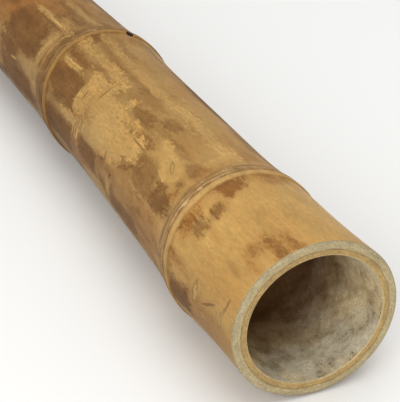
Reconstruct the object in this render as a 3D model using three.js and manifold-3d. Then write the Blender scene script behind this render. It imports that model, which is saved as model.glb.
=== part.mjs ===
// A length of giant bamboo cane lying on its side: one hollow culm with four nodes.
// Millimetres, +Z up. The cane runs along X, with its near sawn end at +X.
import * as THREE from "three";
import { mergeVertices } from "three/addons/utils/BufferGeometryUtils.js";
import Module from "manifold-3d";

// ---- Driving dimensions ----
const CANE_LENGTH = 1000;
const CANE_RADIUS = 50; // outside, at the near sawn end
const WALL = 8.8; // thickness of the woody wall between the nodes
const FLATTENING = 0.025; // the section is wider across and lower in height by this share
const RIM_BEVEL = 1.2; // the arris of each sawn end, knocked off

// The nodes, by how far their collar's near edge lies behind the near sawn end. Each collar leans:
// the edge lies further back by leanTop at the top of the cane and by leanSide at the +Y side.
// shift is how far the centre line has swung towards +Y there, because a cane kinks a little at
// every node.
const NODES = [
  { place: 84.4, leanTop: 4.3, leanSide: 1.2, shift: -2.9 },
  { place: 342.2, leanTop: 11.8, leanSide: 1.4, shift: 2 },
  { place: 628, leanTop: -5, leanSide: -4, shift: -2.4 },
  { place: 918, leanTop: 3, leanSide: 5, shift: 1.6 },
];
const LEAN_REACH = 70; // how far from a node its lean has died away
const BLEND_REACH = 30; // how far from a node one length's waist gives way to the next

// Outside radius half way along each length between nodes, as a share of CANE_RADIUS.
const WAISTS = [0.985, 0.962, 0.975, 0.968, 0.98];
const END_FLARE = 0.7; // extra radius at the two sawn ends
const END_FLARE_REACH = 25;
const SWELLING = 1.9; // broad rise of the cane towards a node
const SWELLING_REACH = 30;
const SWELLING_CREST = 6; // its highest ring, past the collar's near edge

// The collar round each node, as [distance past its near edge, height above the swelling]:
// a sharp step up, a smooth band, a groove, the thin scar lip of the fallen sheath, and its fade.
const COLLAR = [
  [-1, 0],
  [0.4, 1],
  [5.4, 1.05],
  [6.6, 0.4],
  [8.6, 0.95],
  [12.4, 0.3],
  [18, 0],
];

// The cross wall that closes the cane at each node.
const SEPTUM_START = 6; // its near face, past the collar's near edge
const SEPTUM_THICKNESS = 5;
const SEPTUM_DISH = 3; // how far its middle is set back from its edge
const SEPTUM_FILLET = 11; // reach of its rounded corner along the wall
const MOUTH_CLEARANCE = 5; // how far an open hollow is cut past its sawn end

// One drilled vent on the collar of each node that closes a length with no open end.
const VENT_RADIUS = 3.2;
const VENT_PLACE = 1.4; // its middle, past the collar's near edge
const VENT_SIDES = 12;
const VENTS = [
  { node: 1, angle: 26 },
  { node: 2, angle: 31 },
  { node: 3, angle: 24 },
];

const SIDES = 36; // facets round the cane
const LENGTH_STEPS = 4; // stations along each length between nodes
const NODE_APPROACH = 18; // where a node's close stations begin, before its near edge
const NODE_RETREAT = 34; // and where they end, past it

// ---- How the cane grew ----
const between = (a, b, t) => a + (b - a) * t;

// Radius along the waists, blended from one length to the next across each node.
function waistRadius(distance) {
  let share = WAISTS[0];
  NODES.forEach((node, k) => {
    const blend = THREE.MathUtils.smoothstep(
      distance,
      node.place - BLEND_REACH,
      node.place + BLEND_REACH,
    );
    share += (WAISTS[k + 1] - WAISTS[k]) * blend;
  });
  return share * CANE_RADIUS;
}

// The smooth outside of the cane, without its collars.
function bodyRadius(distance) {
  const fromEnd = Math.max(0, Math.min(distance, CANE_LENGTH - distance));
  const flare = END_FLARE * Math.exp(-fromEnd / END_FLARE_REACH);
  return NODES.reduce((sum, node) => {
    const fromCrest = distance - node.place - SWELLING_CREST;
    return sum + SWELLING * Math.exp(-((fromCrest / SWELLING_REACH) ** 2));
  }, waistRadius(distance) + flare);
}

function collarHeight(past) {
  const next = COLLAR.findIndex(([start]) => start > past);
  if (next <= 0) return 0;
  const [x0, h0] = COLLAR[next - 1];
  const [x1, h1] = COLLAR[next];
  return between(h0, h1, (past - x0) / (x1 - x0));
}

const outerRadius = (distance) =>
  NODES.reduce((sum, node) => sum + collarHeight(distance - node.place), bodyRadius(distance));

const innerRadius = (distance) =>
  bodyRadius(THREE.MathUtils.clamp(distance, 0, CANE_LENGTH)) - WALL;

// How far towards +Y the centre line has swung, straight from node to node.
function centreShift(distance) {
  const stations = [{ place: 0, shift: 0 }, ...NODES, { place: CANE_LENGTH, shift: 0 }];
  const reached = stations.findIndex((station) => station.place >= distance);
  const i = reached < 0 ? stations.length - 1 : Math.max(1, reached);
  const [from, to] = [stations[i - 1], stations[i]];
  const share = (distance - from.place) / (to.place - from.place);
  return between(from.shift, to.shift, THREE.MathUtils.clamp(share, 0, 1));
}

// How far back the outside lies at an angle from the top, because the nodes lean.
function leanBack(distance, angle) {
  return NODES.reduce((sum, node) => {
    const away = Math.min(Math.abs(distance - node.place) / LEAN_REACH, 1);
    const share = 0.5 * (1 + Math.cos(Math.PI * away));
    return sum + share * (node.leanTop * Math.cos(angle) + node.leanSide * Math.sin(angle));
  }, 0);
}

// Where a point of a true round cane lies on the grown one. The angle is from the top towards +Y.
function grownPoint(distance, radius, angle) {
  const flattened = radius * (1 - FLATTENING * Math.cos(2 * angle));
  const lean = (leanBack(distance, angle) * radius) / CANE_RADIUS;
  return new THREE.Vector3(
    CANE_LENGTH / 2 - distance - lean,
    centreShift(distance) + flattened * Math.sin(angle),
    flattened * Math.cos(angle),
  );
}

// ---- Profiles: [distance, radius] from the near end to the far end, starting and ending on the axis ----

// The stations of the outside, close together at the collars and wide apart between them.
function outerProfile() {
  const nodeStations = NODES.flatMap(({ place }) => [
    place - NODE_APPROACH,
    ...COLLAR.map(([past]) => place + past),
    place + NODE_RETREAT,
  ]);
  const starts = [RIM_BEVEL, ...NODES.map((node) => node.place + NODE_RETREAT)];
  const ends = [...NODES.map((node) => node.place - NODE_APPROACH), CANE_LENGTH - RIM_BEVEL];
  const lengthStations = starts.flatMap((start, k) =>
    Array.from({ length: LENGTH_STEPS - 1 }, (_, i) => between(start, ends[k], (i + 1) / LENGTH_STEPS)),
  );
  const stations = [RIM_BEVEL, ...nodeStations, ...lengthStations, CANE_LENGTH - RIM_BEVEL];
  return [
    [0, 0],
    [0, outerRadius(0) - RIM_BEVEL],
    ...stations.toSorted((a, b) => a - b).map((station) => [station, outerRadius(station)]),
    [CANE_LENGTH, outerRadius(CANE_LENGTH) - RIM_BEVEL],
    [CANE_LENGTH, 0],
  ];
}

// A cross wall's face with its rounded corner, as it is met from the axis outwards.
function septumFace(face, towardsHollow) {
  const corner = (along, inwards) => [
    face + towardsHollow * along * SEPTUM_FILLET,
    innerRadius(face) - inwards * SEPTUM_FILLET,
  ];
  return [[face + SEPTUM_DISH, 0], corner(0, 1.4), corner(0.14, 0.6), corner(0.45, 0.2)];
}

// The hollow after one node and before the next. With no node on a side it runs out of that end.
function lumenProfile(nodeBefore, nodeAfter) {
  const start = nodeBefore ? nodeBefore.place + SEPTUM_START + SEPTUM_THICKNESS : -MOUTH_CLEARANCE;
  const end = nodeAfter ? nodeAfter.place + SEPTUM_START : CANE_LENGTH + MOUTH_CLEARANCE;
  const first = nodeBefore ? septumFace(start, 1) : [[start, 0]];
  const last = nodeAfter ? septumFace(end, -1) : [[end, 0]];
  const from = nodeBefore ? start + SEPTUM_FILLET : start;
  const to = nodeAfter ? end - SEPTUM_FILLET : end;
  const wall = Array.from({ length: LENGTH_STEPS + 1 }, (_, i) => {
    const distance = between(from, to, i / LENGTH_STEPS);
    return [distance, innerRadius(distance)];
  });
  return [...first, ...wall, ...last.toReversed()];
}

// ---- Solids ----
const wasm = await Module();
wasm.setup();

function solidOf(geometry) {
  geometry.deleteAttribute("normal");
  geometry.deleteAttribute("uv");
  const merged = mergeVertices(geometry, 1e-4);
  return new wasm.Manifold(
    new wasm.Mesh({
      numProp: 3,
      vertProperties: merged.getAttribute("position").array,
      triVerts: new Uint32Array(merged.index.array),
    }),
  );
}

function geometryOf(solid) {
  const mesh = solid.getMesh();
  return new THREE.BufferGeometry()
    .setAttribute("position", new THREE.BufferAttribute(mesh.vertProperties, 3))
    .setIndex(new THREE.BufferAttribute(mesh.triVerts, 1));
}

// Turns a profile about the cane's axis and gives every point its grown place.
function turned(profile) {
  const outline = profile.map(([distance, radius]) => new THREE.Vector2(radius, -distance));
  const geometry = new THREE.LatheGeometry(outline, SIDES);
  const position = geometry.getAttribute("position");
  for (let i = 0; i < position.count; i++) {
    const [across, height, up] = [position.getX(i), position.getY(i), position.getZ(i)];
    const grown = grownPoint(-height, Math.hypot(across, up), Math.atan2(across, up));
    position.setXYZ(i, grown.x, grown.y, grown.z);
  }
  return solidOf(geometry);
}

// A drill through the wall, pointing at the axis.
function ventDrill({ node, angle }) {
  const turn = THREE.MathUtils.degToRad(angle);
  const distance = NODES[node].place + VENT_PLACE;
  const outside = grownPoint(distance, outerRadius(distance) + WALL / 2, turn);
  const inside = grownPoint(distance, innerRadius(distance) - WALL, turn);
  const direction = outside.clone().sub(inside);
  const geometry = new THREE.CylinderGeometry(VENT_RADIUS, VENT_RADIUS, direction.length(), VENT_SIDES);
  geometry.applyQuaternion(
    new THREE.Quaternion().setFromUnitVectors(new THREE.Vector3(0, 1, 0), direction.clone().normalize()),
  );
  geometry.translate(...outside.add(inside).multiplyScalar(0.5).toArray());
  return solidOf(geometry);
}

function culmSolid() {
  const lumens = [...NODES, null].map((node, k) => turned(lumenProfile(NODES[k - 1], node)));
  const drills = VENTS.map(ventDrill);
  return [...lumens, ...drills].reduce((left, cut) => left.subtract(cut), turned(outerProfile()));
}

// ---- The cane ----
const bambooRind = new THREE.MeshStandardMaterial({ color: 0xb98d52, roughness: 0.55, metalness: 0 });

const culm = new THREE.Mesh(geometryOf(culmSolid()), bambooRind);
culm.name = "culm";

// The origin is under the middle of the cane, on the surface that it lies on.
const box = new THREE.Box3().setFromObject(culm);
const middle = box.getCenter(new THREE.Vector3());
culm.position.set(-middle.x, -middle.y, -box.min.z);

const cane = new THREE.Group();
cane.add(culm);

export default cane;
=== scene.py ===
"""A length of giant bamboo cane lying on a pale floor.

The culm is turned from a profile that follows the way bamboo grows: a waist between every two nodes,
a broad swelling at each node, and a stepped collar round it. Its weathering is laid on as blotches,
each at a place along and around the cane, whose edges the rind's own grain then breaks up.
"""

import math
import random

import bpy
import numpy as np
from mathutils import Matrix, Vector


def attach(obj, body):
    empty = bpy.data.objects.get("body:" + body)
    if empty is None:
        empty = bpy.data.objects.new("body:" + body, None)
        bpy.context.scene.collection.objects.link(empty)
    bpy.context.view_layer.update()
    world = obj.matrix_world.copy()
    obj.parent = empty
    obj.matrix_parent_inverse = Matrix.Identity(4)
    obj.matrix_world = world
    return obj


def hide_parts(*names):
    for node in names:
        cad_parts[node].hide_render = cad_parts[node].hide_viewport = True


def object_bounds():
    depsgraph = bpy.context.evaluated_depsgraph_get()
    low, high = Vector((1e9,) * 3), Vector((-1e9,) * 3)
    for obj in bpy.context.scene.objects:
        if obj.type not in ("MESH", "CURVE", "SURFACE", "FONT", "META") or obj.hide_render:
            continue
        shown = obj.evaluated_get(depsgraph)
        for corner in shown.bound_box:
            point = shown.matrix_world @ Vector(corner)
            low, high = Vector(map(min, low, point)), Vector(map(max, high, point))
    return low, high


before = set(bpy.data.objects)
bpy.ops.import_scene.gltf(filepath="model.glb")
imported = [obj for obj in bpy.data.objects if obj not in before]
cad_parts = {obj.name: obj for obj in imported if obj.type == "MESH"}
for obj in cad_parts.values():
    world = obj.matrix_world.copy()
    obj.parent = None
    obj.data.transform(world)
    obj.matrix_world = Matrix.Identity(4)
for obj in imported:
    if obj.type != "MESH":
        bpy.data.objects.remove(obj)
cad_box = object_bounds()

MM = 0.001

# ---- The cane's sizes, in millimetres ----
LENGTH = 1000
RADIUS = 50  # outside, at the near sawn end
WALL = 8.8
FLATTENING = 0.025  # wider across and lower in height by this share
BEVEL = 1.2  # the worn arris of each sawn end
INNER_BEVEL = 0.7

# Each node: how far its collar's near edge lies behind the near sawn end, how far that edge leans
# back at the top and at the +Y side, and how far the centre line has swung towards +Y.
NODES = [
    (84.4, 4.3, 1.2, -2.9),
    (342.2, 11.8, 1.4, 2.0),
    (628.0, -5.0, -4.0, -2.4),
    (918.0, 3.0, 5.0, 1.6),
]
LEAN_REACH = 70  # how far from its node a lean dies away
BLEND_REACH = 30  # how far from a node one length's waist gives way to the next one's
WAISTS = [0.985, 0.962, 0.975, 0.968, 0.98]  # each length's share of the radius
END_FLARE, END_FLARE_REACH = 0.7, 25
SWELLING, SWELLING_REACH, SWELLING_CREST = 1.9, 30, 6

# The collar, as (distance past its near edge, height): the step, the smooth band, the groove,
# the scar lip of the fallen sheath, a second groove and the rough band's fade.
COLLAR = [
    (-1.4, 0.0),
    (-0.5, 0.1),
    (0.0, 0.55),
    (0.5, 0.95),
    (1.2, 1.12),
    (3.0, 1.2),
    (4.8, 1.12),
    (5.8, 0.85),
    (6.5, 0.35),
    (7.1, 0.5),
    (7.9, 0.95),
    (8.8, 1.0),
    (9.8, 0.75),
    (11.2, 0.35),
    (12.2, 0.42),
    (13.6, 0.5),
    (16.0, 0.25),
    (20.0, 0.0),
]
COLLAR_MIDDLE = 8  # a point belongs to the collar whose middle it lies nearest to

# The cross walls: how far past a collar's near edge one starts, its thickness, its dish and the rounding
# of its corner; and the dish's edge, as a share of the hollow's radius, with rings inside it.
SEPTUM_START, SEPTUM_THICKNESS, SEPTUM_DISH, SEPTUM_FILLET = 6, 5, 3, 11
DISH_EDGE = 0.6
DISH_RINGS = (0.12, 0.25, 0.4, 0.55)

VENT_RADIUS, VENT_PLACE = 3.2, 1.4  # the place is past its collar's near edge
VENT_DEPTH = 2.6 * WALL  # the drill's length, which clears the wall on both sides
VENTS = [(1, 26), (2, 31), (3, 24)]  # the node and the angle from the top towards +Y

# ---- How finely it is made ----
SIDES, HIDDEN_SIDES, VENT_SIDES = 160, 48, 28
RINGS_APART = 4  # millimetres, along the plain rind
END_RINGS = (12, 2)  # how far from a sawn end they lie closer, and how far apart there
COLLAR_RINGS = [(-14, -2, 2), (22, 34, 3)]  # before and after a collar: from, to and how far apart
HOLLOW_RINGS_APART, HIDDEN_RINGS_APART = 3, 30
FACE_RINGS, FILLET_RINGS = 5, 7
ARRIS_MIDDLE = 0.3  # where the middle of a worn arris lies, as a share of its bevel

# Each part of the surface takes the finish of this number.
ZONES = {"rind": 0, "sawn": 1, "hollow": 2, "vent": 3}


# ---- How the cane grew: every rule takes a distance behind the near sawn end, in millimetres ----
def smoothstep(low, high, value):
    t = min(max((value - low) / (high - low), 0), 1)
    return t * t * (3 - 2 * t)


def body_radius(distance):
    """The smooth outside, without its collars."""
    share = WAISTS[0]
    for (place, *_), before, after in zip(NODES, WAISTS, WAISTS[1:]):
        share += (after - before) * smoothstep(place - BLEND_REACH, place + BLEND_REACH, distance)
    from_end = max(0, min(distance, LENGTH - distance))
    radius = share * RADIUS + END_FLARE * math.exp(-from_end / END_FLARE_REACH)
    for place, *_ in NODES:
        radius += SWELLING * math.exp(-(((distance - place - SWELLING_CREST) / SWELLING_REACH) ** 2))
    return radius


def outer_radius(distance):
    past, heights = zip(*COLLAR)
    return body_radius(distance) + sum(
        float(np.interp(distance - place, past, heights)) for place, *_ in NODES
    )


def inner_radius(distance):
    return body_radius(min(max(distance, 0), LENGTH)) - WALL


def centre_shift(distance):
    """How far the centre line has swung towards +Y, for one distance or an array of them."""
    places = [0, *[place for place, *_ in NODES], LENGTH]
    return np.interp(distance, places, [0, *[shift for *_, shift in NODES], 0])


def leans(distance):
    """How far a ring at this distance lies back at the top and at the +Y side."""
    top = side = 0
    for place, lean_top, lean_side, _ in NODES:
        away = min(abs(distance - place) / LEAN_REACH, 1)
        share = 0.5 * (1 + math.cos(math.pi * away))
        top += share * lean_top
        side += share * lean_side
    return top, side


def grown_point(distance, radius, turn):
    """Where a point of a true round cane lies on the grown one, from the near end's centre, in metres."""
    top, side = leans(distance)
    flattened = radius * (1 - FLATTENING * math.cos(2 * turn))
    lean = (top * math.cos(turn) + side * math.sin(turn)) * radius / RADIUS
    return (
        -(distance + lean) * MM,
        (centre_shift(distance) + flattened * math.sin(turn)) * MM,
        flattened * math.cos(turn) * MM,
    )


# ---- Profiles: (distance, radius, zone of the skin from here on) ----
def spread(start, end, step):
    """Places from a start towards an end, about a step apart and without the end itself."""
    count = max(1, round((end - start) / step))
    return [start + (end - start) * k / count for k in range(count)]


def rind_stations():
    """Distances along the outside: close together at the ends and collars, wider apart in between."""
    reached, end_apart = END_RINGS
    far_end = LENGTH - reached
    stations = spread(BEVEL, reached, end_apart)
    (before, close, close_apart), (after, last, last_apart) = COLLAR_RINGS
    for place, *_ in NODES:
        stations += spread(reached, place + before, RINGS_APART)
        stations += spread(place + before, place + close, close_apart)
        stations += [place + past for past, _ in COLLAR]
        stations += spread(place + after, place + last, last_apart)
        reached = place + last
    return stations + spread(reached, far_end, RINGS_APART) + spread(far_end, LENGTH - BEVEL, end_apart)


def septum(face, towards_hollow):
    """A cross wall's face with its rounded corner, from the axis outwards."""
    corner = inner_radius(face)
    points = [(face + SEPTUM_DISH, 0)]
    for share in DISH_RINGS:
        points.append((face + SEPTUM_DISH * (1 - (share / DISH_EDGE) ** 2), share * corner))
    for k in range(FILLET_RINGS + 1):
        angle = math.pi / 2 * k / FILLET_RINGS
        away = towards_hollow * SEPTUM_FILLET * (1 - math.cos(angle))
        points.append((face + away, corner - SEPTUM_FILLET * (1 - math.sin(angle))))
    return points


def sawn_end(distance, towards_cane):
    """The sawn ring of wood, from the hollow outwards, with both arrises worn round."""
    outer, inner = outer_radius(distance), inner_radius(distance)
    flat_from, flat = inner + INNER_BEVEL, outer - BEVEL - inner - INNER_BEVEL
    return [
        (distance + towards_cane * INNER_BEVEL, inner),
        (distance + towards_cane * INNER_BEVEL * ARRIS_MIDDLE, inner + INNER_BEVEL * ARRIS_MIDDLE),
        *[(distance, flat_from + flat * k / FACE_RINGS) for k in range(FACE_RINGS + 1)],
        (distance + towards_cane * BEVEL * ARRIS_MIDDLE, outer - BEVEL * ARRIS_MIDDLE),
    ]


def skin_profile():
    """The whole outer skin: near cross wall, near cup, sawn end, rind, and the same at the far end."""
    near_face = NODES[0][0] + SEPTUM_START
    far_face = NODES[-1][0] + SEPTUM_START + SEPTUM_THICKNESS
    near_cup = spread(near_face - SEPTUM_FILLET, INNER_BEVEL, HOLLOW_RINGS_APART)[1:]
    far_cup = spread(LENGTH - INNER_BEVEL, far_face + SEPTUM_FILLET, HOLLOW_RINGS_APART)[1:]
    rind_end = LENGTH - BEVEL
    parts = [
        ("hollow", septum(near_face, -1) + [(d, inner_radius(d)) for d in near_cup]),
        ("sawn", sawn_end(0, 1)),
        ("rind", [(d, outer_radius(d)) for d in rind_stations()]),
        ("sawn", [(rind_end, outer_radius(rind_end))] + sawn_end(LENGTH, -1)[::-1]),
        ("hollow", [(d, inner_radius(d)) for d in far_cup] + septum(far_face, 1)[::-1]),
    ]
    return [(*point, ZONES[zone]) for zone, points in parts for point in points]


def closed_hollow_profile(before, after):
    """The hollow between two nodes, which no sawn end opens."""
    start = before[0] + SEPTUM_START + SEPTUM_THICKNESS
    end = after[0] + SEPTUM_START
    wall = spread(start + SEPTUM_FILLET, end - SEPTUM_FILLET, HIDDEN_RINGS_APART)[1:]
    points = septum(start, 1) + [(d, inner_radius(d)) for d in wall] + septum(end, -1)[::-1]
    return [(*point, ZONES["hollow"]) for point in points]


def profile_mesh(name, profiles):
    """Every profile's points as one mesh, with what the turning needs to know at each of them."""
    points, known = [], []
    for run, profile in enumerate(profiles):
        for distance, radius, zone in profile:
            points.append((distance * MM, radius * MM, 0))
            moved = (centre_shift(distance), *leans(distance))
            known.append((zone, run, *[length * MM for length in moved]))
    mesh = bpy.data.meshes.new(name)
    mesh.from_pydata(points, [], [])
    for label, values in zip(("zone", "run", "shift", "lean_top", "lean_side"), zip(*known)):
        mesh.attributes.new(label, "FLOAT", "POINT").data.foreach_set("value", values)
    made = bpy.data.objects.new(name, mesh)
    bpy.context.scene.collection.objects.link(made)
    return made


# ---- Trees ----
def add(tree, kind, inputs=(), output=0, **settings):
    """Adds a node, gives it its settings and its inputs, and returns one of its outputs."""
    made = tree.nodes.new(kind)
    for name, value in settings.items():
        setattr(made, name, value)
    for key, value in inputs.items() if isinstance(inputs, dict) else enumerate(inputs):
        if isinstance(value, bpy.types.NodeSocket):
            tree.links.new(value, made.inputs[key])
        elif value is not None:
            made.inputs[key].default_value = value
    return made.outputs[output] if len(made.outputs) else made


def new_tree(name, inputs, outputs):
    tree = bpy.data.node_groups.new(name, "GeometryNodeTree")
    for direction, sockets in (("INPUT", inputs), ("OUTPUT", outputs)):
        for label, kind in sockets.items():
            tree.interface.new_socket(label, in_out=direction, socket_type="NodeSocket" + kind)
    return tree


def turning_tree():
    """Turns one profile about the cane's axis, flattens its section and gives each ring its lean."""
    tree = new_tree(
        "turned_as_grown",
        {"Profiles": "Geometry", "Run": "Float", "Sides": "Int", "Flattening": "Float", "Radius": "Float"},
        {"Skin": "Geometry"},
    )
    given = add(tree, "NodeGroupInput").node.outputs
    named = {
        name: add(tree, "GeometryNodeInputNamedAttribute", {"Name": name}, data_type="FLOAT")
        for name in ("run", "zone", "shift", "lean_top", "lean_side")
    }
    this_run = add(tree, "FunctionNodeCompare", {"A": named["run"], "B": given["Run"], "Epsilon": 0.1},
                   data_type="FLOAT", operation="EQUAL")
    profile = add(tree, "GeometryNodeSeparateGeometry", [given["Profiles"], this_run])
    stations = add(tree, "GeometryNodeAttributeDomainSize", [profile], "Point Count")

    # One ring of the grid to each station, with its first and last points at the same place.
    ring = add(tree, "ShaderNodeMath", [given["Sides"], 1.0], operation="ADD")
    grid = add(tree, "GeometryNodeMeshGrid", {"Vertices X": stations, "Vertices Y": ring})
    index = add(tree, "GeometryNodeInputIndex")
    middle = add(tree, "ShaderNodeMath", [index, 0.5], operation="ADD")
    at_point, at_face = (
        add(tree, "ShaderNodeMath", [add(tree, "ShaderNodeMath", [middle, count], operation="DIVIDE")],
            operation="FLOOR")
        for count in (ring, given["Sides"])
    )
    step = add(tree, "ShaderNodeMath", [middle, ring], operation="MODULO")
    turned = add(tree, "ShaderNodeMath", [step, given["Sides"]], operation="DIVIDE")
    turn = add(tree, "ShaderNodeMath", [turned, 2 * math.pi, math.pi], operation="MULTIPLY_ADD")
    sine, cosine = (add(tree, "ShaderNodeMath", [turn], operation=kind) for kind in ("SINE", "COSINE"))

    position = add(tree, "GeometryNodeInputPosition")
    point = add(tree, "GeometryNodeSampleIndex", [profile, position, at_point], data_type="FLOAT_VECTOR")
    distance, radius = add(tree, "ShaderNodeSeparateXYZ", [point]).node.outputs[:2]
    shift, lean_top, lean_side = (
        add(tree, "GeometryNodeSampleIndex", [profile, named[name], at_point], data_type="FLOAT")
        for name in ("shift", "lean_top", "lean_side")
    )

    # The section: radius times 1 - flattening cos 2a, and cos 2a is 1 - 2 sin a squared.
    squared = add(tree, "ShaderNodeMath", [sine, sine], operation="MULTIPLY")
    double = add(tree, "ShaderNodeMath", [squared, -2.0, 1.0], operation="MULTIPLY_ADD")
    change = add(tree, "ShaderNodeMath", [double, given["Flattening"]], operation="MULTIPLY")
    share = add(tree, "ShaderNodeMath", [1.0, change], operation="SUBTRACT")
    flattened = add(tree, "ShaderNodeMath", [radius, share], operation="MULTIPLY")

    # The lean grows from nothing at the axis to its full amount at the outside.
    sideways = add(tree, "ShaderNodeMath", [lean_side, sine], operation="MULTIPLY")
    lean = add(tree, "ShaderNodeMath", [lean_top, cosine, sideways], operation="MULTIPLY_ADD")
    outwards = add(tree, "ShaderNodeMath", [radius, given["Radius"]], operation="DIVIDE")
    leant = add(tree, "ShaderNodeMath", [outwards, lean, distance], operation="MULTIPLY_ADD")
    place = add(tree, "ShaderNodeCombineXYZ", [
        add(tree, "ShaderNodeMath", [leant, -1.0], operation="MULTIPLY"),
        add(tree, "ShaderNodeMath", [flattened, sine, shift], operation="MULTIPLY_ADD"),
        add(tree, "ShaderNodeMath", [flattened, cosine], operation="MULTIPLY"),
    ])
    shaped = add(tree, "GeometryNodeSetPosition", {"Geometry": grid, "Position": place})
    zone = add(tree, "GeometryNodeSampleIndex", [profile, named["zone"], at_face], data_type="FLOAT")
    for label, value, domain in (("along", distance, "POINT"), ("zone", zone, "FACE")):
        shaped = add(tree, "GeometryNodeStoreNamedAttribute",
                     {"Geometry": shaped, "Name": label, "Value": value}, data_type="FLOAT", domain=domain)
    # Merging joins each ring's first and last points, and closes the skin at the axis.
    closed = add(tree, "GeometryNodeMergeByDistance", {"Geometry": shaped, "Distance": 1e-6})
    add(tree, "NodeGroupOutput", [add(tree, "GeometryNodeFlipFaces", [closed])])
    return tree


def culm_tree(turned, finishes):
    """The whole culm: its skin, less the closed hollows and the drilled vents, in its four finishes."""
    tree = new_tree(
        "grown_culm",
        {
            "Profiles": "Geometry",
            "Sides": "Int",
            "Hidden Sides": "Int",
            "Flattening": "Float",
            "Radius": "Float",
            "Vent Radius": "Float",
            "Vent Depth": "Float",
        },
        {"Culm": "Geometry"},
    )
    given = add(tree, "NodeGroupInput").node.outputs
    skins = [add(tree, "GeometryNodeGroup", node_tree=turned).node for _ in NODES]
    for run, skin in enumerate(skins):
        skin.inputs["Run"].default_value = run
        for label in ("Profiles", "Flattening", "Radius"):
            tree.links.new(given[label], skin.inputs[label])
        tree.links.new(given["Hidden Sides" if run else "Sides"], skin.inputs["Sides"])

    outside, *cutters = (skin.outputs["Skin"] for skin in skins)
    for at, angle in VENTS:
        drill = add(tree, "GeometryNodeMeshCylinder",
                    {"Vertices": VENT_SIDES, "Radius": given["Vent Radius"], "Depth": given["Vent Depth"]})
        distance = NODES[at][0] + VENT_PLACE
        mouth, tip = (
            Vector(grown_point(distance, radius, math.radians(angle)))
            for radius in (outer_radius(distance) + WALL / 2, inner_radius(distance) - WALL)
        )
        aimed = add(tree, "GeometryNodeTransform", {
            "Geometry": drill,
            "Rotation": (mouth - tip).to_track_quat("Z", "Y").to_euler(),
            "Translation": (mouth + tip) / 2,
        })
        cutters.append(add(tree, "GeometryNodeStoreNamedAttribute",
                           {"Geometry": aimed, "Name": "zone", "Value": float(ZONES["vent"])},
                           data_type="FLOAT", domain="FACE"))
    cut = add(tree, "GeometryNodeMeshBoolean", [outside], operation="DIFFERENCE", solver="MANIFOLD")
    for cutter in cutters:
        tree.links.new(cutter, cut.node.inputs["Mesh 2"])
    whole = add(tree, "GeometryNodeRealizeInstances", [add(tree, "GeometryNodeSetShadeSmooth", [cut])])
    zone = add(tree, "GeometryNodeInputNamedAttribute", {"Name": "zone"}, data_type="FLOAT")
    for number, finish in enumerate(finishes):
        here = add(tree, "FunctionNodeCompare", {"A": zone, "B": float(number), "Epsilon": 0.1},
                   data_type="FLOAT", operation="EQUAL")
        whole = add(tree, "GeometryNodeSetMaterial",
                    {"Geometry": whole, "Selection": here, "Material": finish})
    add(tree, "NodeGroupOutput", [whole])
    return tree


def grown(name, base, tree, values):
    """Runs a tree on its base object and keeps the result as a plain mesh of this name."""
    modifier = base.modifiers.new("growth", "NODES")
    modifier.node_group = tree
    for item in tree.interface.items_tree:
        if item.name in values:
            modifier[item.identifier] = values[item.name]
    evaluated = base.evaluated_get(bpy.context.evaluated_depsgraph_get())
    mesh = bpy.data.meshes.new_from_object(evaluated)
    mesh.name = name
    base.modifiers.remove(modifier)
    bpy.data.objects.remove(base)
    mesh.materials.pop(index=0)  # a grid starts with an empty slot
    made = bpy.data.objects.new(name, mesh)
    bpy.context.scene.collection.objects.link(made)
    return made


def end_centre():
    """The middle of the near sawn end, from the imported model."""
    corners = [v.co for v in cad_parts["culm"].data.vertices if v.co.x > cad_box[1].x - 0.1 * MM]
    return Vector([(min(c[k] for c in corners) + max(c[k] for c in corners)) / 2 for k in range(3)])


rim = end_centre()


# ---- Weathering ----
ARC = math.radians(1) * RADIUS  # millimetres along the rind to a degree around it
EDGE_REACH = 12  # how far from its edge a blotch's field is told, in millimetres
RIVAL_REACH = 2  # millimetres inside a blotch at which it counts in full against another

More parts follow.
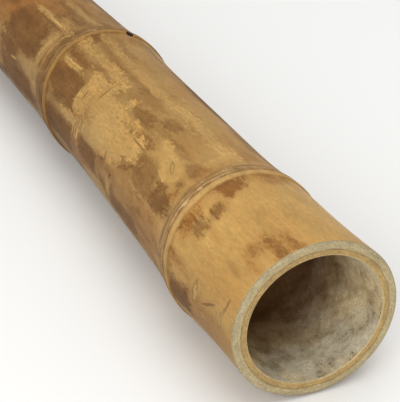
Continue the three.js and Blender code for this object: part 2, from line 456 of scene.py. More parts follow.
# Blotches, as (behind the near sawn end, degrees from the top towards +Y, half length, half width in
# degrees, turn in degrees, squareness from 2 for an oval upwards, depth of colour).
BLOTCHES = {
    # brown weather stain
    "stained": [
        (9, -12.5, 11, 3, 0, 3, 0.45),
        (7, -24, 10, 2.4, 0, 3, 0.55),
        (22, -35, 4, 3, 0, 2, 0.4),
        (9, -44, 7, 2.4, 0, 2, 0.35),
        (24, -52, 4, 1.5, 0, 2, 0.4),
        (67, -33, 5.5, 6, 0, 3, 0.9),
        (68, -49, 7, 6.5, 0, 3, 0.8),
        (71, -100, 13, 11, 0, 4, 1.0),
        (83, -13, 2.2, 9.5, 0, 6, 0.9),
        (77, -13, 6.5, 9.5, 0, 8, 0.5),
        (83, -18, 2, 4, 0, 4, 1.0),
        (83, -57, 2, 5, 0, 3, 0.9),
        (82.5, 16, 2, 13, 0, 4, 0.55),
        (82.5, -80, 2, 6, 0, 3, 0.6),
        (116, -25, 9, 5, 0, 2, 0.6),
        (114, -40.5, 6, 3, 0, 2, 0.8),
        (120, -59, 17, 7.5, 0, 3, 1.0),
        (128, -51, 10, 4.5, 0, 3, 0.9),
        (156, -55, 20, 14, 0, 3, 0.75),
        (182, -38, 14, 5, 0, 2, 0.9),
        (184, -14, 13, 6, 0, 2, 0.7),
        (208, -25, 17, 7, 0, 2, 0.8),
        (160, -23, 36, 4, 0, 2, 0.55),
        (228, -12, 20, 5, 0, 2, 0.4),
        (112, -84, 9, 2.5, 6, 3, 0.6),
        (118, -73, 7, 1.8, -8, 2, 0.5),
        (127, -91, 14, 2.2, 4, 3, 0.6),
        (142, -80, 11, 1.6, 0, 2, 0.6),
        (136, -99, 12, 3, 0, 3, 0.7),
        (151, -71, 12, 1.5, -5, 2, 0.5),
        (163, -85, 10, 2, 5, 2, 0.6),
        (173, -76, 8, 1.5, 0, 2, 0.6),
        (172, -99, 30, 8, 0, 3, 0.85),
        (194, -90, 4, 6, 0, 3, 0.9),
        (213, -94, 7, 6, 0, 3, 0.85),
        (212, -80, 20, 3.5, 0, 3, 0.6),
        (248, -86, 19, 9, 0, 6, 1.0),
        (256, -30, 8, 5, 0, 2, 0.4),
        (268, -36, 3.5, 12, 0, 3, 0.5),
        (319, -56, 25, 13, 0, 8, 1.0),
        (314, -67, 30, 3.5, 0, 6, 1.0),
        (316, -92, 31, 12.5, 0, 6, 1.0),
        (324, -31, 18, 4, 0, 4, 1.0),
        (336, -12, 8, 9, 0, 2, 0.75),
        (305, -8, 26, 3, 0, 2, 0.35),
        (298, -14, 3, 2, 0, 2, 0.6),
        (328, 27, 6, 8, 0, 2, 0.6),
        (342, -30, 2, 30, 0, 6, 0.7),
        (359, -40, 9, 22, 0, 3, 0.65),
        (358, -78, 12, 14, 0, 3, 0.75),
        (430, -48, 41, 19, 0, 5, 1.0),
        (425, -94, 60, 11, 0, 5, 1.0),
        (450, -76, 24, 12, 0, 4, 0.9),
        (404, -3.5, 38, 2, 0, 3, 0.9),
        (392, -9, 18, 3.5, 0, 2, 0.7),
        (410, -14, 4, 6, 0, 2, 0.8),
        (420, -27, 40, 1.8, 0, 3, 0.8),
    ],
    # amber and russet, where sap dried on the rind
    "sapped": [
        (9, -13.5, 14, 4.5, 0, 3, 0.8),
        (8, -24.5, 13, 3.2, 0, 3, 0.85),
        (23, -35, 4, 3.5, 0, 2, 0.5),
        (10, -44, 7, 3, 0, 2, 0.5),
        (52, -46, 8, 3, 0, 2, 0.4),
        (77, -13, 6.5, 9.5, 0, 8, 1.0),
        (79, -50, 6, 12, 0, 4, 0.95),
        (78, 18, 6, 14, 0, 3, 0.6),
        (72, -77, 12, 4, 0, 2, 0.7),
        (107, -8, 5, 18, 0, 3, 0.6),
        (110, -46, 6, 5, 0, 4, 1.0),
        (118, 22, 10, 8, 0, 2, 0.5),
        (182, -62, 11, 7, 0, 2, 0.6),
        (199, -80, 6, 4, 0, 2, 0.9),
        (219, -74, 9, 3, 0, 2, 0.9),
        (152, -88, 50, 18, 0, 4, 0.55),
        (50, -100, 44, 12, 0, 3, 0.45),
        (262, -92, 60, 14, 0, 3, 0.4),
        (190, 28, 80, 11, 0, 3, 0.3),
        (236, 24, 14, 7, 0, 3, 0.6),
        (330, 25, 8, 10, 0, 2, 0.8),
        (288, -66, 5, 3.5, 0, 3, 0.9),
        (366, -45, 6, 18, 0, 3, 0.6),
        (462, -34, 36, 16, 0, 4, 1.0),
        (445, -12, 32, 8, 0, 3, 0.8),
        (420, 14, 50, 9, 0, 3, 0.5),
    ],
    # bare rind, scraped clean of its brown film
    "scraped": [
        (112, -3, 9, 12, 0, 3, 0.6),
        (150, 5, 58, 5.5, 0, 2.5, 1.0),
        (252, 1, 88, 4.5, 0, 3, 0.8),
        (215, 11.5, 26, 2, 0, 2, 0.7),
        (250, 24, 94, 12, 0, 4, 0.6),
        (405, 26, 40, 12, 0, 4, 0.3),
        (134, -40, 15, 7.5, 0, 2, 1.0),
        (150, -29, 15, 3, 12, 2, 0.85),
        (205, -50, 32, 10, 0, 3, 1.0),
        (222, -58, 34, 14, 0, 3, 1.0),
        (222, -37, 26, 5, 0, 2, 1.0),
        (231, -26, 3.5, 8, 10, 2, 0.9),
        (255, -46, 26, 12, 0, 3, 0.8),
        (282, -48, 11, 19, 0, 6, 1.0),
        (280, -33, 22, 7, 0, 4, 0.95),
        (297, -18, 36, 5, 0, 4, 1.0),
        (324, -39.5, 19, 1.2, -3, 3, 1.0),
        (293, -74.5, 20, 4.5, -6, 1.6, 0.95),
        (274, -78, 4, 13, 0, 4, 0.75),
        (250, -70, 20, 5, 0, 3, 0.6),
        (204, -89, 4, 8, 0, 3, 0.8),
        (408, -23, 28, 1.8, 0, 4, 1.0),
        (390, -17, 14, 3, 0, 3, 0.6),
        (381, -46, 5, 15, 0, 3, 0.7),
        (402, -75, 20, 5, -4, 3, 0.6),
        (376, -84, 8, 6, 0, 3, 0.6),
        (352, -3, 4, 9, 0, 3, 0.7),
        (408, 2.5, 36, 2.5, 0, 3, 0.6),
    ],
}

# Scars, as (one end, the other end, half width in millimetres, kind). Each end is a distance behind
# the near sawn end and an angle. Kind 0 is a dark line, 1 a pale leaf with a dark edge, 2 a pale scrape.
SCARS = [
    ((128, -40), (143, -32), 2.2, 1),
    ((48, -74), (50, -97), 3.6, 1),
    ((22, -79), (42, -90), 1.2, 0),
    ((30, -99), (46, -95), 2.4, 1),
    ((11, -67), (12.5, -79), 1.0, 0),
    ((14, -78), (19, -95), 1.8, 1),
    ((172, -56), (180, -66), 1.3, 0),
    ((180, -60), (193, -70), 1.1, 0),
    ((186, -57), (195, -61), 0.8, 0),
    ((196, -77), (203, -83), 1.3, 0),
    ((211, -73), (226, -77), 1.2, 0),
    ((168, -43.5), (200, -43), 0.9, 0),
    ((231, -20), (229, -37), 1.6, 2),
    ((205, -37), (203, -44), 0.9, 0),
    ((216, -66), (214, -74), 1.0, 0),
    ((266, -25), (266, -47), 1.1, 0),
    ((285, -43), (285, -57), 1.2, 0),
    ((304, -36.5), (343, -41), 1.3, 2),
    ((293.5, -44), (294, -62), 1.4, 2),
    ((270, -64), (274, -90), 1.6, 2),
    ((281, -64), (283, -92), 1.6, 2),
    ((262, -60), (264, -80), 1.3, 2),
    ((378, -32), (385, -62), 1.8, 2),
    ((420, -77), (442, -79), 1.8, 2),
    ((376, -23), (438, -24), 1.4, 2),
    ((372, -27), (440, -27.5), 1.1, 0),
    ((366, -10), (367.5, -78), 1.5, 2),
    ((353, 12), (354, -85), 1.1, 0),
    ((359, 20), (360, -70), 1.0, 0),
    ((100, 5), (101.5, -55), 0.8, 0),
    ((98, -40), (102, -95), 1.4, 0),
]


# How far back and how far round, in millimetres and degrees, blotches and scars are listed one by one.
PLACED_ALONG, PLACED_FROM, PLACED_TO = 485, -108, 40


def left_wild(along, around):
    return along > PLACED_ALONG or not PLACED_FROM < around < PLACED_TO


def wild_blotches(seed, count, reach, depth):
    """Blotches scattered over the rest of the rind, of half lengths and depths between two bounds."""
    draw = random.Random(seed)
    rows = []
    while len(rows) < count:
        along, around = draw.uniform(0, LENGTH), draw.uniform(-180, 180)
        if left_wild(along, around):
            half = draw.uniform(*reach)
            half_width, turn = half * draw.uniform(0.25, 0.6), draw.uniform(-15, 15)
            rows.append((along, around, half, half_width, turn, draw.uniform(2, 5), draw.uniform(*depth)))
    return rows


def wild_scars(seed, count):
    """Scars scattered over the rest of the rind: three dark lines to each pale leaf and pale scrape."""
    draw = random.Random(seed)
    rows = []
    while len(rows) < count:
        along, around = draw.uniform(10, LENGTH - 10), draw.uniform(-180, 180)
        if left_wild(along, around):
            run, turn = draw.uniform(3, 14), draw.uniform(-12, 12)
            half_width, kind = draw.uniform(0.7, 1.8), draw.choice([0, 0, 0, 1, 2])
            rows.append(((along - run, around - turn), (along + run, around + turn), half_width, kind))
    return rows


def places_on(mesh):
    """Each point's distance behind the near sawn end, in millimetres, and its angle in degrees."""
    places = np.empty(len(mesh.vertices) * 3)
    mesh.vertices.foreach_get("co", places)
    _, y, z = (places.reshape(-1, 3) - np.array(rim)).T
    along = np.empty(len(y))
    mesh.attributes["along"].data.foreach_get("value", along)
    return along / MM, np.degrees(np.arctan2(y - centre_shift(along / MM) * MM, z))


def around_from(angle, start):
    """How far an angle is past another, in millimetres round the rind, the short way."""
    return (np.mod(angle - start + 180, 360) - 180) * ARC


def store(mesh, name, values, kind="FLOAT"):
    """Gives every point of a mesh a number, or a vector of three."""
    held = {"FLOAT": "value", "FLOAT_VECTOR": "vector"}[kind]
    attribute = mesh.attributes.new(name, kind, "POINT")
    attribute.data.foreach_set(held, np.asarray(values, np.float32).ravel())


def lay_blotches(mesh, name, rows):
    """Stores how far inside its blotch each point lies, in millimetres, and how deep that one is. Where
    blotches overlap, a small deep one shows through a broad faint one."""
    along, angle = places_on(mesh)
    field, depth = np.full(len(along), -float(EDGE_REACH)), np.zeros(len(along))
    best = field.copy()
    for place, around, half_length, half_width, turn, power, colour_depth in rows:
        u, v = along - place, around_from(angle, around)
        c, s = math.cos(math.radians(turn)), math.sin(math.radians(turn))
        reach = np.abs([(u * c + v * s) / half_length, (v * c - u * s) / (half_width * ARC)])
        inside = (1 - (reach**power).sum(0) ** (1 / power)) * min(half_length, half_width * ARC)
        rank = np.where(inside > 0, np.minimum(inside, RIVAL_REACH) * colour_depth, inside)
        depth = np.where(rank > best, colour_depth, depth)
        field = np.where(rank > best, inside, field)
        best = np.maximum(best, rank)
    store(mesh, name, np.minimum(field, EDGE_REACH))
    store(mesh, name + "_depth", depth)


def lay_scars(mesh, rows):
    """Stores each point's place in its nearest scar, along it in half lengths and across it in half
    widths, and that scar's kind."""
    along, angle = places_on(mesh)
    nearest, held = np.full(len(along), np.inf), np.zeros((len(along), 3))
    for (start, start_angle), (end, end_angle), half_width, kind in rows:
        run, rise = (end - start) / 2, (end_angle - start_angle) * ARC / 2
        half = math.hypot(run, rise)
        u = along - (start + end) / 2
        v = around_from(angle, (start_angle + end_angle) / 2)
        down, across = (u * run + v * rise) / half, (v * run - u * rise) / half
        away = np.hypot(np.maximum(np.abs(down) - half, 0), across)
        here = away < nearest
        nearest = np.where(here, away, nearest)
        held[here] = np.stack([down / half, across / half_width, np.full(len(along), kind)], 1)[here]
    store(mesh, "scar", held, "FLOAT_VECTOR")


def mark_collars(mesh):
    """Stores how far each point lies past its nearest collar's near edge, in millimetres."""
    past = places_on(mesh)[0][:, None] - np.array([place for place, *_ in NODES])
    nearest = np.abs(past - COLLAR_MIDDLE).argmin(1)
    store(mesh, "past_collar", past[np.arange(len(past)), nearest])


# ---- Finishes ----
def colour(code):
    """An sRGB hex value as linear red, green, blue and alpha."""
    parts = [int(code[k : k + 2], 16) / 255 for k in (0, 2, 4)]
    return (*[p / 12.92 if p <= 0.04045 else ((p + 0.055) / 1.055) ** 2.4 for p in parts], 1)


def fill_ramp(ramp, stops):
    """Sets a colour ramp's stops, each its place, its colour and maybe its cover, from 0 at first to 1."""
    for place, code, *cover in stops:
        stop = ramp.elements[0 if place == 0 else -1] if place in (0, 1) else ramp.elements.new(place)
        stop.color = (*colour(code)[:3], *(cover or [1]))


# The sockets of a Mix node set to colours, by number, as its other kinds share their names.
FACTOR, A, B, RESULT = 0, 6, 7, 2


def new_finish(name):
    """A material of this name, with its tree and its shader."""
    material = bpy.data.materials.new(name)
    material.use_nodes = True
    return material, material.node_tree, material.node_tree.nodes["Principled BSDF"]


def dress(surface, looks):
    """Gives a shader its looks: a number or a colour on the socket itself, and a pattern by a link."""
    for socket, look in looks.items():
        if isinstance(look, bpy.types.NodeSocket):
            surface.id_data.links.new(look, surface.inputs[socket])
        else:
            surface.inputs[socket].default_value = look


def two_tone(tree, pattern, low, high, pale, deep):
    """A paint that goes from its pale tone to its deep one as a pattern runs between two values."""
    part = add(tree, "ShaderNodeMapRange", [pattern, low, high])
    tones = {FACTOR: part, A: colour(pale), B: colour(deep)}
    return add(tree, "ShaderNodeMix", tones, RESULT, data_type="RGBA")


def painted(tree, ground, where, paints):
    """A ground under paints, each as (pattern, its value where the paint starts, its value where the paint
    is full, how far it covers, colour)."""
    for pattern, low, high, most, code in paints:
        part = add(tree, "ShaderNodeMapRange", [pattern, low, high, 0.0, most])
        part = add(tree, "ShaderNodeMath", [part, where], operation="MULTIPLY")
        coats = {FACTOR: part, A: ground, B: colour(code)}
        ground = add(tree, "ShaderNodeMix", coats, RESULT, data_type="RGBA")
    return ground


def shaded(tree, shade, patterns):
    """A shade times each pattern, as (pattern, its low value, its high one, the dark and the light)."""
    for pattern, low, high, dark, light in patterns:
        part = add(tree, "ShaderNodeMapRange", [pattern, low, high, dark, light])
        shade = add(tree, "ShaderNodeMath", [shade, part], operation="MULTIPLY")
    return shade


# The rind's paints, in sRGB: bare straw pale, straw deep and amber; then each layer's two extremes.
STRAW = ("C69E5C", "B98F50", "B27F40")
FILM = ("8C6636", "6E4E28")
STAIN = ("84592D", "664523")
SAP = ("A26C34", "82501F")
AGED = "D9CDBE"  # what an old collar's colours are multiplied by: browner, and a little darker
GNAWED, GNAWED_PALE = "6A4C2E", "CBB58C"  # the dirt in a collar's fine lines, and their high spots
PAINTED_SHADE_FROM, PAINTED_SHADE_TO, PAINTED_SHADE_DARKEST = 88, 36, 0.62  # heights between which painted shade darkens the rind towards the floor, and how dark it ends

# Colours across a collar, as (past its near edge, colour, how far it covers the rind).
COLLAR_BANDS = [
    (-2.0, "7A4E26", 0.0),
    # the dark line in the corner of the step: dirt, with the step's shadow painted in
    (-0.4, "744A24", 0.35),
    (0.4, "B08A52", 0.75),
    (1.2, "BE985C", 0.85),
    (3.0, "C09A5F", 0.85),
    (5.4, "AE8650", 0.8),
    (6.4, "5A3F24", 0.85),
    (7.4, "8C6840", 0.75),
    (8.4, "B08C5C", 0.75),
    (9.8, "9A7448", 0.7),
    (11.0, "644628", 0.75),
    (12.2, "A5814F", 0.65),
    (13.6, "76552F", 0.6),
    (16.0, "936D40", 0.45),
    (20.0, "A07840", 0.0),
]


def weathered_rind():
    """Bamboo rind, aged outdoors: silica-hard and smooth, so it keeps a dull sheen, straw gold where
    it is bare, under a brown film where rain has stained it, with the fibres showing as fine streaks."""
    material, tree, surface = new_finish("weathered_bamboo_rind")
    place = add(tree, "ShaderNodeTexCoord", output="Object")
    along, past = (
        add(tree, "ShaderNodeAttribute", attribute_name=name, output="Fac")
        for name in ("along", "past_collar")
    )
    drawn = {
        share: add(tree, "ShaderNodeMapping", {"Vector": place, "Scale": (share, 1, 1)})
        for share in (0.04, 0.12, 0.4, 1)
    }
    # Each pattern's size in millimetres, the scale that draws it out along the fibres, and its detail and
    # roughness. Real fibres lie 0.3 mm apart and the grit is as fine: they are drawn at 0.9 to 1.8 mm,
    # so that they show.
    cloud, mottle, edge, fibre, streak, grit, patch, fine = (
        add(tree, "ShaderNodeTexNoise",
            {"Vector": drawn[share], "Scale": 1 / (size * MM), "Detail": detail, "Roughness": rough})
        for size, share, detail, rough in (
            (48, 1, 2, 0.5),
            (9, 0.4, 5, 0.62),
            (11, 0.4, 6, 0.7),
            (1.5, 0.04, 3, 0.6),
            (5, 0.12, 3, 0.6),
            (1.8, 0.4, 4, 0.7),
            (24, 0.4, 4, 0.6),
            (0.9, 0.12, 2, 0.6),
        )
    )
    flecks = add(tree, "ShaderNodeTexVoronoi", {"Vector": drawn[0.4], "Scale": 1 / (5 * MM)})

    # Bare rind: straw gold, deeper in soft clouds and amber in streaks, and duller towards the far end.
    bare = two_tone(tree, cloud, 0.35, 0.65, STRAW[0], STRAW[1])
    bare = painted(tree, bare, 1.0, [(streak, 0.48, 0.72, 0.45, STRAW[2])])
    duller = add(tree, "ShaderNodeMapRange", [along, 100 * MM, 400 * MM, 1.0, 0.84])
    bare = add(tree, "ShaderNodeVectorMath", {0: bare, "Scale": duller}, operation="SCALE")

    # The film: thin on the near length, thicker with every length beyond it.
    thickness = add(tree, "ShaderNodeMath", [
        add(tree, "ShaderNodeMapRange", [along, 84 * MM, 120 * MM, 0.08, 0.45]),
        add(tree, "ShaderNodeMapRange", [along, 120 * MM, 400 * MM, 0.0, 0.7]),
    ], operation="ADD")
    lie = add(tree, "ShaderNodeMath", [
        add(tree, "ShaderNodeMapRange", [patch, 0.4, 0.56, 0.25, 1.0]),
        add(tree, "ShaderNodeMapRange", [mottle, 0.3, 0.7, 0.4, 1.3]),
    ], operation="MULTIPLY")
    film_amount = add(tree, "ShaderNodeMath", [lie, thickness], operation="MULTIPLY", use_clamp=True)
    film = two_tone(tree, grit, 0.36, 0.64, *FILM)
    skin = add(tree, "ShaderNodeMix", {FACTOR: film_amount, A: bare, B: film}, RESULT, data_type="RGBA")
    rough = add(tree, "ShaderNodeMath", [film_amount, 0.08, 0.46], operation="MULTIPLY_ADD")

    stain, sap = (two_tone(tree, mottle, 0.35, 0.65, *tones) for tones in (STAIN, SAP))
    # The blotches' edges wander by a few millimetres, and the grit shows through them.
    broad = add(tree, "ShaderNodeMapRange", [edge, 0.3, 0.7, -3.5, 3.5])
    close = add(tree, "ShaderNodeMapRange", [grit, 0.3, 0.7, -2.0, 2.0])
    wobble = add(tree, "ShaderNodeMath", [broad, close], operation="ADD")
    speckled = add(tree, "ShaderNodeMapRange", [grit, 0.34, 0.66, 0.62, 1.2])
    # Each layer: its blotches, its paint, how soft its edge is in millimetres, and how much duller it is.
    for name, paint, soft, dulling in (
        ("sapped", sap, 3.0, 0.02), ("stained", stain, 2.8, 0.12), ("scraped", bare, 1.3, -0.06),
    ):
        field, depth = (
            add(tree, "ShaderNodeAttribute", attribute_name=label, output="Fac")
            for label in (name, name + "_depth")
        )
        broken = add(tree, "ShaderNodeMath", [field, wobble], operation="ADD")
        inside = add(tree, "ShaderNodeMapRange", [broken, -soft, soft], interpolation_type="SMOOTHSTEP")
        amount = add(tree, "ShaderNodeMath", [inside, depth], operation="MULTIPLY")
        amount = add(tree, "ShaderNodeMath", [amount, speckled], operation="MULTIPLY", use_clamp=True)
        skin = add(tree, "ShaderNodeMix", {FACTOR: amount, A: skin, B: paint}, RESULT, data_type="RGBA")
        rough = add(tree, "ShaderNodeMath", [amount, dulling, rough], operation="MULTIPLY_ADD")

    # Scars: a dark line tapers to its ends, a leaf has a pale middle, and a scrape is pale all over.
    scar = add(tree, "ShaderNodeAttribute", attribute_name="scar", output="Vector")
    down, across, kind = add(tree, "ShaderNodeSeparateXYZ", [scar]).node.outputs
    taper = add(tree, "ShaderNodeMath", [down, down], operation="MULTIPLY")
    depth_in = add(tree, "ShaderNodeMath", [
        add(tree, "ShaderNodeMath", [1.0, taper], operation="SUBTRACT"),
        add(tree, "ShaderNodeMath", [across], operation="ABSOLUTE"),
    ], operation="SUBTRACT")
    chipped = add(tree, "ShaderNodeMapRange", [grit, 0.4, 0.6, -0.2, 0.15])
    worn = add(tree, "ShaderNodeMath", [depth_in, chipped], operation="ADD")
    edged = add(tree, "ShaderNodeMapRange", [kind, 2.0, 1.0])  # kinds 0 and 1
    skin = painted(tree, skin, edged, [(worn, 0.0, 0.35, 0.65, STAIN[1])])
    pale = add(tree, "ShaderNodeMapRange", [kind, 0.0, 1.0])  # kinds 1 and 2
    skin = painted(tree, skin, pale, [(worn, 0.3, 0.6, 0.85, STRAW[0])])

    # Painted shade, darker down the sides towards the floor, then fibres, grit and specks, each from dark
    # to light.
    height = add(tree, "ShaderNodeSeparateXYZ", [place], "Z")
    shade = add(tree, "ShaderNodeMapRange", [height, PAINTED_SHADE_TO * MM, PAINTED_SHADE_FROM * MM, PAINTED_SHADE_DARKEST, 1.0])
    shade = shaded(tree, shade, [
        (fibre, 0.25, 0.75, 0.95, 1.04),
        (streak, 0.3, 0.7, 0.92, 1.07),
        (mottle, 0.3, 0.7, 0.9, 1.1),
        (patch, 0.3, 0.7, 0.93, 1.07),
        (grit, 0.3, 0.7, 0.86, 1.12),
        (fine, 0.3, 0.7, 0.94, 1.06),
        (flecks, 0.04, 0.14, 0.78, 1.0),
    ])

    # The collar: dirt and painted shadow in the corner of the step, the smooth band, grooves, the scar
    # lip, the rough band.
    waver = add(tree, "ShaderNodeMapRange", [patch, 0.3, 0.7, -0.5, 0.5])
    first, last = COLLAR_BANDS[0][0], COLLAR_BANDS[-1][0]
    wavering = add(tree, "ShaderNodeMath", [past, waver], operation="ADD")
    bands = add(tree, "ShaderNodeValToRGB", [add(tree, "ShaderNodeMapRange", [wavering, first, last])])
    stops = [((at - first) / (last - first), *look) for at, *look in COLLAR_BANDS]
    fill_ramp(bands.node.color_ramp, stops)
    cover = bands.node.outputs["Alpha"]
    older = add(tree, "ShaderNodeMapRange", [along, 90 * MM, 350 * MM])
    aged = add(tree, "ShaderNodeMix",
               {FACTOR: older, A: colour("FFFFFF"), B: colour(AGED)}, RESULT, data_type="RGBA")
    # The collar is gnawed and dirty in fine lines round it: dark hollows, and pale high spots. Real ones
    # are 0.5 mm apart, drawn at 1.5 mm so that they show.
    lines_place = add(tree, "ShaderNodeMapping", {"Vector": place, "Scale": (1, 0.22, 0.22)})
    lines = add(tree, "ShaderNodeTexNoise",
                {"Vector": lines_place, "Scale": 1 / (1.5 * MM), "Detail": 4, "Roughness": 0.65})
    gnawed = add(tree, "ShaderNodeMapRange", [past, 4.5, 6.5, 0.25, 1.0])
    marks = [(lines, 0.5, 0.36, 0.75, GNAWED), (lines, 0.54, 0.66, 0.7, GNAWED_PALE)]
    bands = painted(tree, bands, gnawed, marks)
    bands = add(tree, "ShaderNodeVectorMath", [bands, aged], operation="MULTIPLY")
    skin = add(tree, "ShaderNodeMix", {FACTOR: cover, A: skin, B: bands}, RESULT, data_type="RGBA")
    rough = add(tree, "ShaderNodeMath", [cover, 0.12, rough], operation="MULTIPLY_ADD")
    skin = add(tree, "ShaderNodeVectorMath", {0: skin, "Scale": shade}, operation="SCALE")

    soft_relief = add(tree, "ShaderNodeMath", [mottle, 0.5], operation="MULTIPLY")
    relief = add(tree, "ShaderNodeMath", [fibre, 0.5, soft_relief], operation="MULTIPLY_ADD")
    rough_collar = add(tree, "ShaderNodeMath", [lines, cover], operation="MULTIPLY")
    relief = add(tree, "ShaderNodeMath", [rough_collar, 2.0, relief], operation="MULTIPLY_ADD")
    bump = add(tree, "ShaderNodeBump", {"Strength": 0.35, "Distance": 0.35 * MM, "Height": relief})
    dress(surface, {"Base Color": skin, "Roughness": rough, "Specular IOR Level": 0.1, "Normal": bump})
    return material


# The wall's layers, from the rind inwards, as a share of its thickness.
WALL_LAYERS = [
    (0.0, "9C8C68"),
    (0.1, "B0A07C"),
    (0.5, "B5A37A"),
    (0.58, "957A4E"),
    (0.64, "AC8F5C"),
    (0.92, "B2945E"),
    (1.0, "C8B48A"),
]


def sawn_end_wood():
    """Sawn bamboo, across the grain: dense grey-green wood under the rind, tan and softer inwards, in
    faint rings, dotted with the dark ends of its fibre bundles and scored by the saw."""
    material, tree, surface = new_finish("sawn_bamboo_end")
    place = add(tree, "ShaderNodeTexCoord", output="Object")
    centred = add(tree, "ShaderNodeVectorMath", [place, (0, -rim.y, -rim.z)], operation="ADD")
    unflattened = (0, 1 / (1 + FLATTENING), 1 / (1 - FLATTENING))
    true_round = add(tree, "ShaderNodeVectorMath", [centred, unflattened], operation="MULTIPLY")
    radius = add(tree, "ShaderNodeVectorMath", [true_round], "Value", operation="LENGTH")
    cloud, fine = (
        add(tree, "ShaderNodeTexNoise",
            {"Vector": place, "Scale": 1 / (size * MM), "Detail": 5, "Roughness": 0.65})
        for size in (9, 1.3)
    )
    uneven = add(tree, "ShaderNodeMapRange", [cloud, 0.3, 0.7, -0.4 * MM, 0.4 * MM])
    warped = add(tree, "ShaderNodeMath", [radius, uneven], operation="ADD")
    inwards = add(tree, "ShaderNodeMapRange", [warped, RADIUS * MM, (RADIUS - WALL) * MM])
    layers = add(tree, "ShaderNodeValToRGB", [inwards])
    fill_ramp(layers.node.color_ramp, WALL_LAYERS)
    # Rings 0.8 mm apart: a noise that changes fast across the wall and slowly round it.
    ring_place = add(tree, "ShaderNodeVectorMath", {0: place, "Scale": 0.12}, operation="SCALE")
    ringed = add(tree, "ShaderNodeCombineXYZ", [warped])
    rings = add(tree, "ShaderNodeTexNoise", {
        "Vector": add(tree, "ShaderNodeVectorMath", [ring_place, ringed], operation="ADD"),
        "Scale": 1 / (0.8 * MM), "Detail": 3,
    })
    # Fibre bundles are 0.6 mm apart near the rind, and saw marks as fine: both drawn at 1.3 mm, to show.
    bundles = add(tree, "ShaderNodeTexVoronoi", {"Vector": place, "Scale": 1 / (1.3 * MM)})
    shade = shaded(tree, 1.0, [
        (rings, 0.3, 0.7, 0.82, 1.12),
        (bundles, 0.12, 0.34, 0.7, 1.0),
        (fine, 0.3, 0.7, 0.76, 1.18),
        (cloud, 0.3, 0.7, 0.84, 1.12),
    ])
    wood = add(tree, "ShaderNodeVectorMath", {0: layers, "Scale": shade}, operation="SCALE")
    bump = add(tree, "ShaderNodeBump", {"Strength": 0.6, "Distance": 0.4 * MM, "Height": shade})
    dress(surface, {"Base Color": wood, "Roughness": 0.8, "Specular IOR Level": 0.25, "Normal": bump})
    return material


def bare_hollow():
    """The hollow's wall: the dry papery skin of the pith, grey-beige and matt near the opening, browner
    and darker towards the cross wall, partly its own colour and partly painted shade, with grains of dark
    mould in drifts."""
    material, tree, surface = new_finish("bare_bamboo_hollow")
    place = add(tree, "ShaderNodeTexCoord", output="Object")
    # Grains of mould are half a millimetre or less, drawn at 1.2 mm so that they show.
    cloud, drift, mottle, grain = (
        add(tree, "ShaderNodeTexNoise",
            {"Vector": place, "Scale": 1 / (size * MM), "Detail": detail, "Roughness": 0.65})
        for size, detail in ((34, 2), (16, 3), (5, 5), (1.2, 3))
    )
    along = add(tree, "ShaderNodeAttribute", attribute_name="along", output="Fac")
    wall = two_tone(tree, cloud, 0.4, 0.6, "BFB59B", "C8B48C")
    # Deeper in, towards the cross wall, it turns a dark brown: partly the pith's own colour, partly
    # painted shade of the deep hollow.
    uneven = add(tree, "ShaderNodeMapRange", [drift, 0.3, 0.7, -14 * MM, 14 * MM])
    inwards = add(tree, "ShaderNodeMath", [along, uneven], operation="ADD")
    wall = painted(tree, wall, 1.0, [(inwards, 18 * MM, 80 * MM, 0.9, "7A5028")])
    # Brown patches, then grains of mould where the drifts are thick.
    thick = add(tree, "ShaderNodeMapRange", [drift, 0.42, 0.62])
    spots = [(mottle, 0.42, 0.6, 0.7, "78603C"), (grain, 0.52, 0.6, 0.75, "4A361E")]
    wall = painted(tree, wall, thick, spots)
    shade = shaded(tree, 1.0, [(grain, 0.3, 0.7, 0.68, 1.24), (mottle, 0.3, 0.7, 0.86, 1.1)])
    wall = add(tree, "ShaderNodeVectorMath", {0: wall, "Scale": shade}, operation="SCALE")
    bump = add(tree, "ShaderNodeBump", {"Strength": 0.5, "Distance": 0.4 * MM, "Height": shade})
    dress(surface, {"Base Color": wall, "Roughness": 0.85, "Specular IOR Level": 0.2, "Normal": bump})
    return material


def burnt_vent():
    """A vent's wall: wood charred black by the hot iron that made it, matt, with brown showing through."""
    material, tree, surface = new_finish("charred_vent_wall")
    place = add(tree, "ShaderNodeTexCoord", output="Object")
    grit = add(tree, "ShaderNodeTexNoise", {"Vector": place, "Scale": 1 / (1.2 * MM), "Detail": 3})
    char = two_tone(tree, grit, 0.4, 0.7, "17100A", "3A2716")
    bump = add(tree, "ShaderNodeBump", {"Strength": 0.6, "Distance": 0.3 * MM, "Height": grit})
    dress(surface, {"Base Color": char, "Roughness": 0.95, "Normal": bump})
    return material


# ---- The cane ----
finishes = [weathered_rind(), sawn_end_wood(), bare_hollow(), burnt_vent()]
profiles = [skin_profile()] + [closed_hollow_profile(*pair) for pair in zip(NODES, NODES[1:])]
culm = grown(
    "bamboo_culm",
    profile_mesh("cane_profiles", profiles),
    culm_tree(turning_tree(), finishes),
    {
        "Sides": SIDES,
        "Hidden Sides": HIDDEN_SIDES,
        "Flattening": FLATTENING,
        "Radius": RADIUS * MM,
        "Vent Radius": VENT_RADIUS * MM,
        "Vent Depth": VENT_DEPTH * MM,
    },
)
culm.data.transform(Matrix.Translation(rim))
for layer, seed, count, half_lengths, depths in (
    ("scraped", 3, 70, (10, 50), (0.5, 1.0)),
    ("stained", 5, 90, (8, 45), (0.4, 1.0)),
    ("sapped", 8, 60, (6, 40), (0.4, 0.9)),
):
    lay_blotches(culm.data, layer, BLOTCHES[layer] + wild_blotches(seed, count, half_lengths, depths))
lay_scars(culm.data, SCARS + wild_scars(seed=13, count=90))
mark_collars(culm.data)
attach(culm, "root")
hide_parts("culm")


# ---- Floor, light and camera ----
FLOOR_HALF = 8  # metres

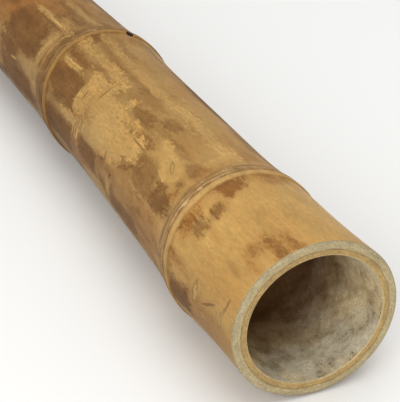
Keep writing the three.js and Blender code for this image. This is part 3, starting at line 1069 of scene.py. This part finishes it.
# Matt paper off a roll, which shows the eye nothing but the cane's soft shadow.
paper, _, paper_surface = new_finish("pale_studio_paper")
dress(paper_surface, {"Base Color": colour("F6F6F4"), "Roughness": 0.9})
corners = [(x * FLOOR_HALF, y * FLOOR_HALF, 0) for x, y in ((-1, -1), (1, -1), (1, 1), (-1, 1))]
floor_mesh = bpy.data.meshes.new("floor")
floor_mesh.from_pydata(corners, [], [(0, 1, 2, 3)])
floor_mesh.materials.append(paper)
floor = bpy.data.objects.new("floor", floor_mesh)
bpy.context.scene.collection.objects.link(floor)

world = bpy.data.worlds.new("studio")
world.use_nodes = True
world.node_tree.nodes["Background"].inputs["Color"].default_value = colour("FFFFFF")
world.node_tree.nodes["Background"].inputs["Strength"].default_value = 0.6
bpy.context.scene.world = world


def softbox(name, place, size, power, aim):
    """A square lamp of this size in metres and this power in watts, turned towards a point."""
    data = bpy.data.lights.new(name, "AREA")
    data.shape, data.size, data.energy = "SQUARE", size, power
    lamp = bpy.data.objects.new(name, data)
    lamp.location = place
    lamp.rotation_euler = (Vector(aim) - Vector(place)).to_track_quat("-Z", "Y").to_euler()
    bpy.context.scene.collection.objects.link(lamp)


softbox("overhead_softbox", (0.8, 0.2, 4.5), 4.0, 78, (0.2, 0, 0))
softbox("front_softbox", (2.0, -1.8, 1.2), 1.6, 34, rim)

# The camera stands off the near sawn end's middle by so many millimetres, and looks back down this way.
STAND_OFF = Vector((526.1, -296.6, 384.1))
AZIMUTH, ELEVATION = math.radians(66.7), math.radians(27.3)
level = math.cos(ELEVATION)
back = Vector((math.sin(AZIMUTH) * level, -math.cos(AZIMUTH) * level, math.sin(ELEVATION)))
camera_data = bpy.data.cameras.new("camera")
camera_data.lens, camera_data.sensor_width = 115.3, 36
camera = bpy.data.objects.new("camera", camera_data)
camera.location = rim + STAND_OFF * MM
camera.rotation_euler = (-back).to_track_quat("-Z", "Y").to_euler()
bpy.context.scene.collection.objects.link(camera)
bpy.context.scene.camera = camera
bpy.context.scene.view_settings.view_transform = "Standard"
